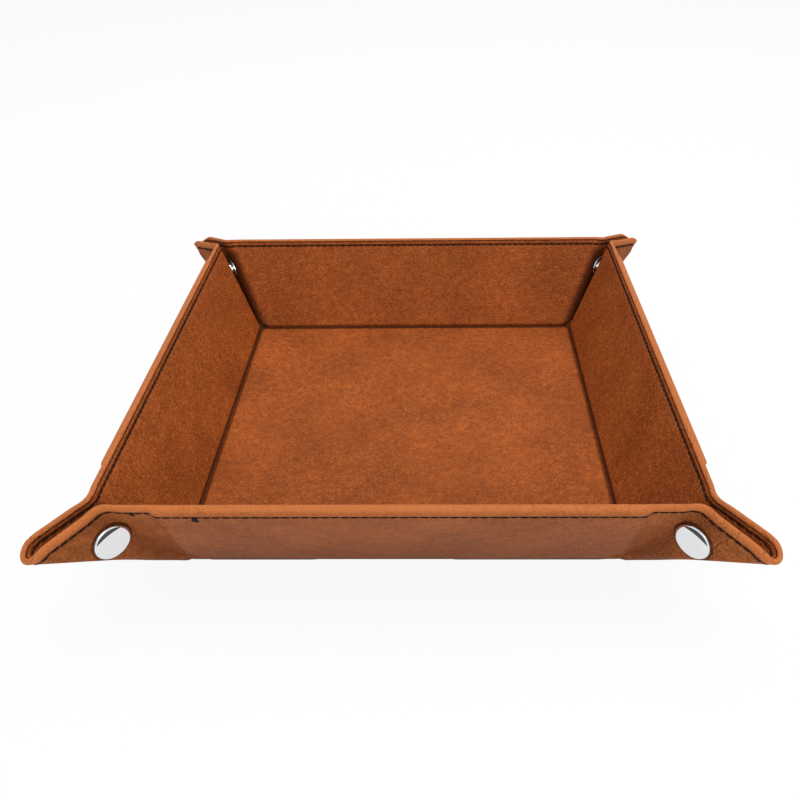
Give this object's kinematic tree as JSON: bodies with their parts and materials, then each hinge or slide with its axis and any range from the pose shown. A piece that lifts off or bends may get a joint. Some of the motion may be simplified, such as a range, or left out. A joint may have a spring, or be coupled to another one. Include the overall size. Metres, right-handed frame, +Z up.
{
  "type": "valet tray",
  "caption": "Square leather snap-corner valet tray: four leaning walls, pinched corner ears held by metal snaps, folds flat when unsnapped.",
  "frame": {"origin": "middle of the base's underside", "axes": "+Z up, -Y to the front wall, +X to the right wall"},
  "size_m": [0.2258, 0.2258, 0.0426],
  "materials": {
    "cover_leather": "tan leatherette, fine pebbled grain, soft sheen",
    "lining_leather": "cognac leatherette, fine pebbled grain, soft sheen",
    "stiffener_board": "grey chipboard, hidden between the leather sheets",
    "snap_metal": "polished nickel"
  },
  "bodies": {
    "base": {"base_board": "stiffener_board", "base_lining": "lining_leather", "base_cover": "cover_leather", "base_fold_strips": "cover_leather"},
    "front_wall": {"front_wall_board": "stiffener_board", "front_wall_lining": "lining_leather", "front_wall_cover": "cover_leather", "front_wall_ear_fold_strips": "cover_leather"},
    "rear_wall": {"rear_wall_board": "stiffener_board", "rear_wall_lining": "lining_leather", "rear_wall_cover": "cover_leather", "rear_wall_ear_fold_strips": "cover_leather"},
    "left_wall": {"left_wall_board": "stiffener_board", "left_wall_lining": "lining_leather", "left_wall_cover": "cover_leather", "left_wall_ear_fold_strips": "cover_leather"},
    "right_wall": {"right_wall_board": "stiffener_board", "right_wall_lining": "lining_leather", "right_wall_cover": "cover_leather", "right_wall_ear_fold_strips": "cover_leather"},
    "front_ear_right": {"front_ear_right_lining": "lining_leather", "front_ear_right_cover": "cover_leather", "front_ear_right_cap": "snap_metal", "front_ear_right_socket": "snap_metal", "front_right_crease_strip": "cover_leather"},
    "front_ear_left": {"front_ear_left_lining": "lining_leather", "front_ear_left_cover": "cover_leather", "front_ear_left_cap": "snap_metal", "front_ear_left_socket": "snap_metal", "front_left_crease_strip": "cover_leather"},
    "rear_ear_left": {"rear_ear_left_lining": "lining_leather", "rear_ear_left_cover": "cover_leather", "rear_ear_left_cap": "snap_metal", "rear_ear_left_socket": "snap_metal", "rear_left_crease_strip": "cover_leather"},
    "rear_ear_right": {"rear_ear_right_lining": "lining_leather", "rear_ear_right_cover": "cover_leather", "rear_ear_right_cap": "snap_metal", "rear_ear_right_socket": "snap_metal", "rear_right_crease_strip": "cover_leather"},
    "left_ear_front": {"left_ear_front_lining": "lining_leather", "left_ear_front_cover": "cover_leather", "left_ear_front_eyelet": "snap_metal", "left_ear_front_stud": "snap_metal"},
    "left_ear_rear": {"left_ear_rear_lining": "lining_leather", "left_ear_rear_cover": "cover_leather", "left_ear_rear_eyelet": "snap_metal", "left_ear_rear_stud": "snap_metal"},
    "right_ear_rear": {"right_ear_rear_lining": "lining_leather", "right_ear_rear_cover": "cover_leather", "right_ear_rear_eyelet": "snap_metal", "right_ear_rear_stud": "snap_metal"},
    "right_ear_front": {"right_ear_front_lining": "lining_leather", "right_ear_front_cover": "cover_leather", "right_ear_front_eyelet": "snap_metal", "right_ear_front_stud": "snap_metal"}
  },
  "joints": [
    {"name": "front_fold", "type": "hinge", "parent": "base", "child": "front_wall", "pos_m": [0, -0.0765, 0.0035], "axis": [1, 0, 0], "range_deg": [0, 64], "deforming": ["base_fold_strips"]},
    {"name": "rear_fold", "type": "hinge", "parent": "base", "child": "rear_wall", "pos_m": [0, 0.0765, 0.0035], "axis": [-1, 0, 0], "range_deg": [0, 64]},
    {"name": "left_fold", "type": "hinge", "parent": "base", "child": "left_wall", "pos_m": [-0.0765, 0, 0.0035], "axis": [0, -1, 0], "range_deg": [0, 64]},
    {"name": "right_fold", "type": "hinge", "parent": "base", "child": "right_wall", "pos_m": [0.0765, 0, 0.0035], "axis": [0, 1, 0], "range_deg": [0, 64]},
    {"name": "front_ear_right_fold", "type": "hinge", "parent": "front_wall", "child": "front_ear_right", "pos_m": [0.07501, -0.07855, 0.00314], "axis": [0.3595, -0.4091, 0.8387], "range_deg": [0, 50.95], "deforming": ["front_wall_ear_fold_strips", "front_right_crease_strip"]},
    {"name": "front_ear_left_fold", "type": "hinge", "parent": "front_wall", "child": "front_ear_left", "pos_m": [-0.07501, -0.07855, 0.00314], "axis": [0.3595, 0.4091, -0.8387], "range_deg": [0, 50.95], "deforming": ["front_left_crease_strip"]},
    {"name": "rear_ear_left_fold", "type": "hinge", "parent": "rear_wall", "child": "rear_ear_left", "pos_m": [-0.07501, 0.07855, 0.00314], "axis": [-0.3595, 0.4091, 0.8387], "range_deg": [0, 50.95], "deforming": ["rear_wall_ear_fold_strips", "rear_left_crease_strip"]},
    {"name": "rear_ear_right_fold", "type": "hinge", "parent": "rear_wall", "child": "rear_ear_right", "pos_m": [0.07501, 0.07855, 0.00314], "axis": [-0.3595, -0.4091, -0.8387], "range_deg": [0, 50.95], "deforming": ["rear_right_crease_strip"]},
    {"name": "left_ear_front_fold", "type": "hinge", "parent": "left_wall", "child": "left_ear_front", "pos_m": [-0.07855, -0.07501, 0.00314], "axis": [-0.4091, -0.3595, 0.8387], "range_deg": [0, 50.95], "deforming": ["left_wall_ear_fold_strips"]},
    {"name": "left_ear_rear_fold", "type": "hinge", "parent": "left_wall", "child": "left_ear_rear", "pos_m": [-0.07855, 0.07501, 0.00314], "axis": [0.4091, -0.3595, -0.8387], "range_deg": [0, 50.95]},
    {"name": "right_ear_rear_fold", "type": "hinge", "parent": "right_wall", "child": "right_ear_rear", "pos_m": [0.07855, 0.07501, 0.00314], "axis": [0.4091, 0.3595, 0.8387], "range_deg": [0, 50.95], "deforming": ["right_wall_ear_fold_strips"]},
    {"name": "right_ear_front_fold", "type": "hinge", "parent": "right_wall", "child": "right_ear_front", "pos_m": [0.07855, -0.07501, 0.00314], "axis": [-0.4091, 0.3595, -0.8387], "range_deg": [0, 50.95]}
  ],
  "couplings": [
    {"joint": "rear_fold", "follows": "front_fold", "ratio": 1},
    {"joint": "left_fold", "follows": "front_fold", "ratio": 1},
    {"joint": "right_fold", "follows": "front_fold", "ratio": 1},
    {"joint": "front_ear_right_fold", "follows": "front_fold", "ratio": 0.79613},
    {"joint": "front_ear_left_fold", "follows": "front_fold", "ratio": 0.79613},
    {"joint": "rear_ear_left_fold", "follows": "front_fold", "ratio": 0.79613},
    {"joint": "rear_ear_right_fold", "follows": "front_fold", "ratio": 0.79613},
    {"joint": "left_ear_front_fold", "follows": "front_fold", "ratio": 0.79613},
    {"joint": "left_ear_rear_fold", "follows": "front_fold", "ratio": 0.79613},
    {"joint": "right_ear_rear_fold", "follows": "front_fold", "ratio": 0.79613},
    {"joint": "right_ear_front_fold", "follows": "front_fold", "ratio": 0.79613}
  ]
}
